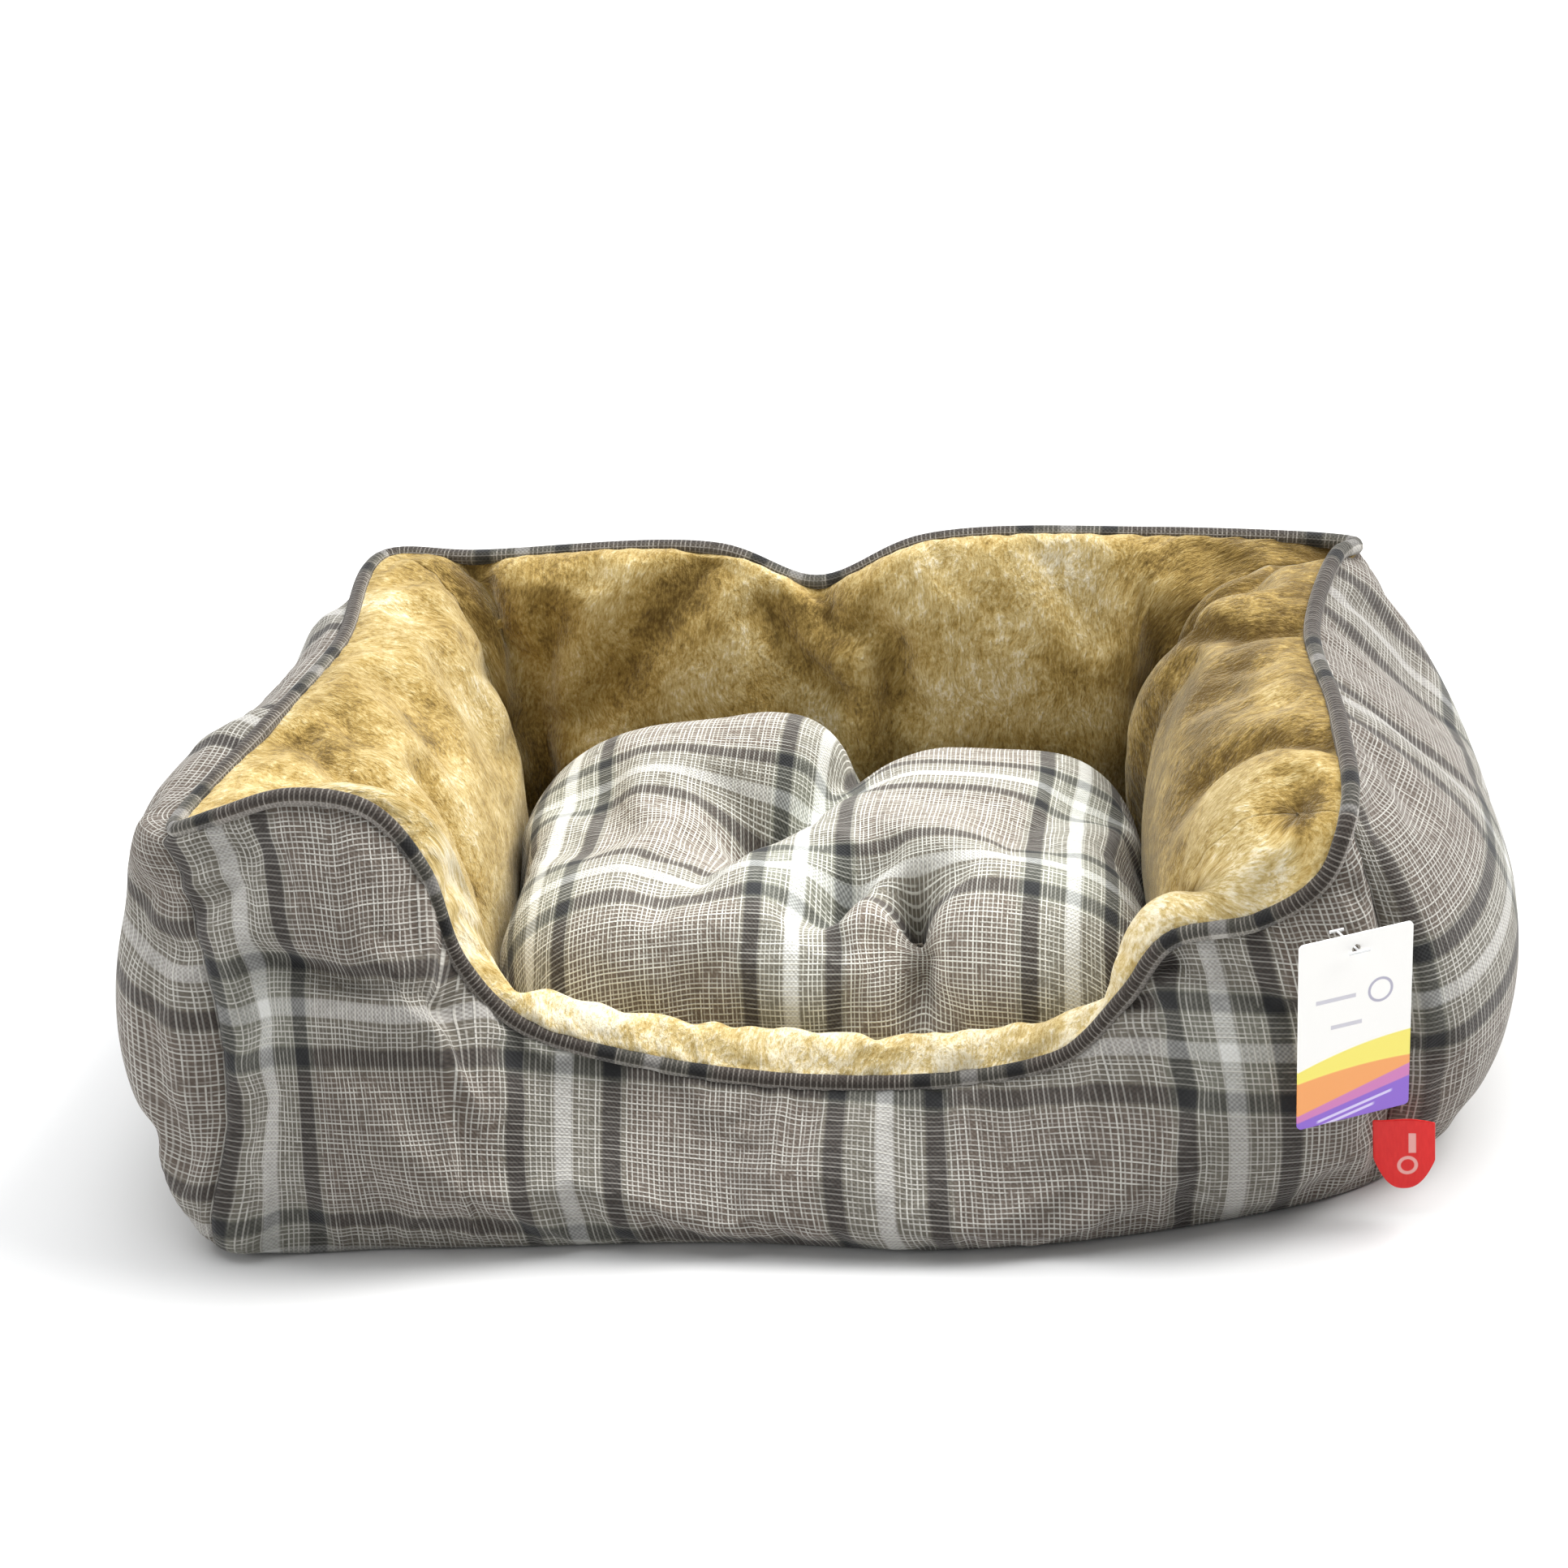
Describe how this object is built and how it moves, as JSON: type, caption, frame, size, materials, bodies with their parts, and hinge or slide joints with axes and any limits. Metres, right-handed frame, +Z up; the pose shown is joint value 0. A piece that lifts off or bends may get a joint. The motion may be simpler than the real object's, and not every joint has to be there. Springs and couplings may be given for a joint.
{
  "type": "bolster pet bed",
  "caption": "Rectangular pet bed with stuffed plaid walls, a plush lining, a scooped front entrance and a loose tufted cushion.",
  "frame": {"origin": "on the floor, under the middle of the whole bed", "axes": "+Z up, +X to the right seen from the entrance, -Y towards the entrance"},
  "size_m": [0.622, 0.3974, 0.2055],
  "materials": {
    "plaid_cloth": "linen-look plaid weave, grey and taupe with white and charcoal stripes",
    "plush": "short golden tan pile",
    "non_slip_cloth": "black non-woven cloth with small rubber dots",
    "fibre_fill": "loose white polyester fibre",
    "cotton_cord": "twisted cotton filler cord",
    "thread": "polyester sewing thread",
    "card": "coated white card with sloping colour bands",
    "clear_nylon": "moulded translucent nylon",
    "label_ribbon": "glossy red coated ribbon"
  },
  "bodies": {
    "bed": {"base_underside": "non_slip_cloth", "base_wadding": "fibre_fill", "base_lining": "plush", "outer_front": "plaid_cloth", "lining_front": "plush", "piping_cover_front": "plaid_cloth", "outer_right": "plaid_cloth", "lining_right": "plush", "piping_cover_right": "plaid_cloth", "outer_back": "plaid_cloth", "lining_back": "plush", "piping_cover_back": "plaid_cloth", "outer_left": "plaid_cloth", "lining_left": "plush", "piping_cover_left": "plaid_cloth", "fill_front": "fibre_fill", "fill_right": "fibre_fill", "fill_back_right": "fibre_fill", "back_web": "plaid_cloth", "fill_back_left": "fibre_fill", "fill_left": "fibre_fill", "piping_cord": "cotton_cord", "tag_fastener": "clear_nylon"},
    "cushion": {"cushion_fill": "fibre_fill", "cushion_top_cover": "plaid_cloth", "cushion_bottom_cover": "plaid_cloth", "cushion_tack_left": "thread", "cushion_tack_right": "thread"},
    "hang_tag": {"hang_tag": "card"},
    "seam_label": {"seam_label": "label_ribbon"}
  },
  "joints": [
    {"name": "cushion_lift", "type": "slide", "parent": "bed", "child": "cushion", "axis": [0, 0, 1], "range_m": [0, 0.2]},
    {"name": "hang_tag_swing", "type": "hinge", "parent": "bed", "child": "hang_tag", "pos_m": [0.2439, -0.1796, 0.14], "axis": [-0.891, -0.454, 0], "range_deg": [0, 55]},
    {"name": "seam_label_flex", "type": "hinge", "parent": "bed", "child": "seam_label", "pos_m": [0.2499, -0.1646, 0.031], "axis": [0, 0, -1], "range_deg": [0, 30], "stiffness_Nm_per_rad": 0.001}
  ]
}
